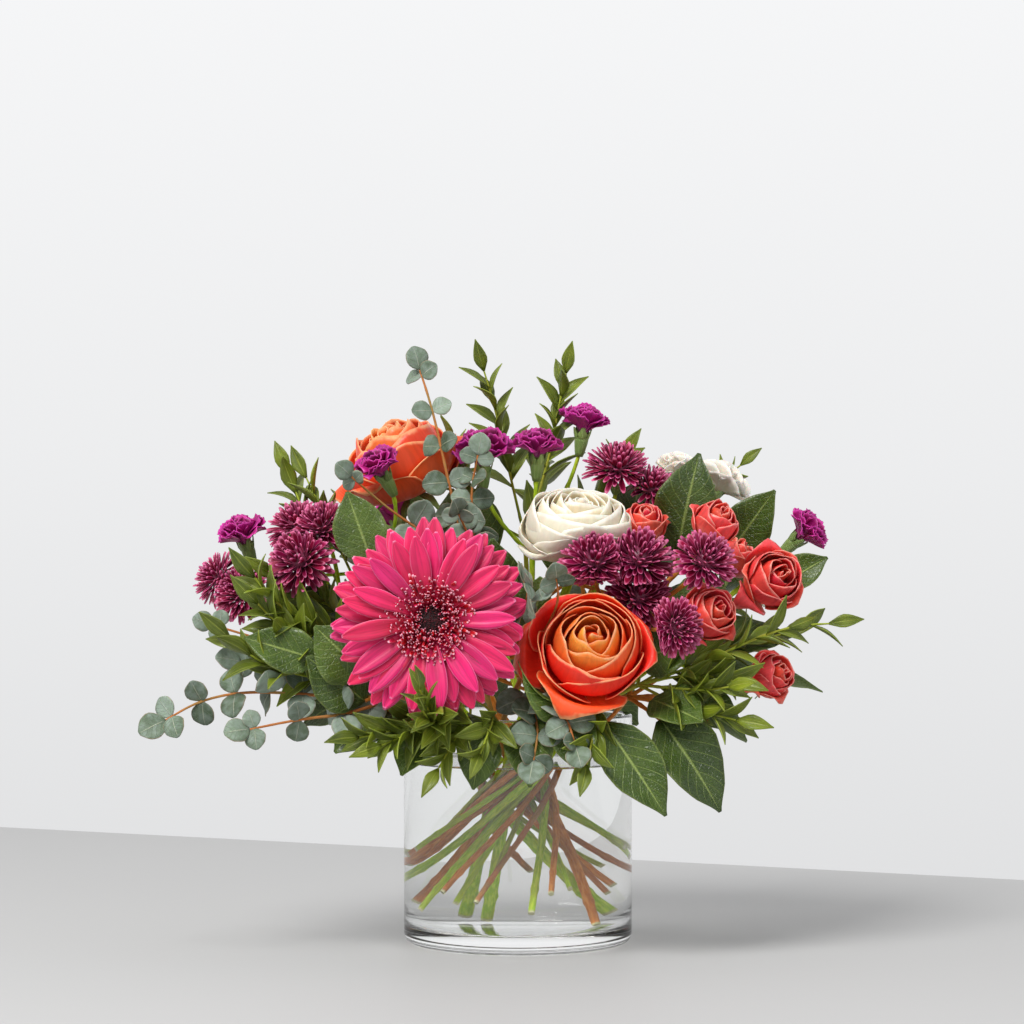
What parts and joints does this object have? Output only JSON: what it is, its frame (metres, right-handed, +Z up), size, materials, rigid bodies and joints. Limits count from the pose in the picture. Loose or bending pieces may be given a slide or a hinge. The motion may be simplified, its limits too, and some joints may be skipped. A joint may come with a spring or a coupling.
{
  "type": "mixed flower bouquet in a glass cylinder vase",
  "caption": "Mixed bouquet of a pink gerbera, orange and white roses, coral spray roses, burgundy button mums, carnations and greenery in a clear glass cylinder vase with water.",
  "frame": {"origin": "centre of the vase's underside", "axes": "+Z up along the vase's axis, -Y towards the front with the gerbera, +X to the right of a viewer in front"},
  "size_m": [0.3733, 0.2488, 0.331],
  "materials": {
    "glass": "clear, polished",
    "water": "clear, still water",
    "gerbera_pink": "satin petals, hot pink",
    "gerbera_red": "matte florets, deep pink-red",
    "gerbera_eye": "matte, velvety, near black",
    "orange": "satin rose petals, orange-red",
    "apricot": "satin rose petals, orange",
    "cream": "satin rose petals, cream white",
    "coral": "satin rose petals, coral",
    "burgundy": "matte petals, burgundy with paler tips",
    "magenta": "matte petals, magenta",
    "white": "matte petals, white",
    "stem": "matte green stems",
    "eucalyptus": "matte grey-green leaves with a bloom",
    "ruscus": "semi-gloss narrow green leaves",
    "salal": "semi-gloss broad green leaves"
  },
  "bodies": {
    "root": {"vase": "glass", "water": "water", "gerbera_eye": "gerbera_eye", "gerbera_ring": "gerbera_red", "gerbera_rays": "gerbera_pink", "rose_front_bloom": "orange", "rose_back_bloom": "apricot", "rose_white_bloom": "cream", "spray_rose_a": "coral", "spray_rose_b": "coral", "spray_rose_c": "coral", "spray_rose_d": "coral", "spray_rose_e": "coral", "spray_rose_f": "coral", "spray_rose_back": "coral", "mums_right": "burgundy", "mum_high_right": "burgundy", "mum_low_right": "burgundy", "mums_top": "burgundy", "mums_left": "burgundy", "mums_far_left": "burgundy", "mums_back": "burgundy", "carnation_mini_a": "magenta", "carnation_mini_b": "magenta", "carnation_mini_c": "magenta", "carnation_mini_d": "magenta", "carnation_mini_e": "magenta", "carnation_mini_f": "magenta", "carnation_mini_g": "magenta", "carnation_white_a": "white", "carnation_white_b": "white", "gerbera_stem": "stem", "rose_front_stem": "stem", "rose_back_stem": "stem", "rose_white_stem": "stem", "spray_rose_stem_high": "stem", "spray_rose_stem_low": "stem", "spray_rose_stem_back": "stem", "mum_stem_right": "stem", "mum_stem_top": "stem", "mum_stem_left": "stem", "mum_stem_back": "stem", "carnation_stem_left": "stem", "carnation_stem_top": "stem", "carnation_stem_right": "stem", "carnation_stem_back": "stem", "carnation_white_stem": "stem", "eucalyptus_top": "eucalyptus", "eucalyptus_front": "eucalyptus", "eucalyptus_left": "eucalyptus", "eucalyptus_back": "eucalyptus", "ruscus_top": "ruscus", "ruscus_left": "ruscus", "ruscus_front": "ruscus", "ruscus_right": "ruscus", "salal_right": "salal", "salal_right_low": "salal", "salal_left": "salal", "salal_back": "salal"}
  },
  "joints": []
}
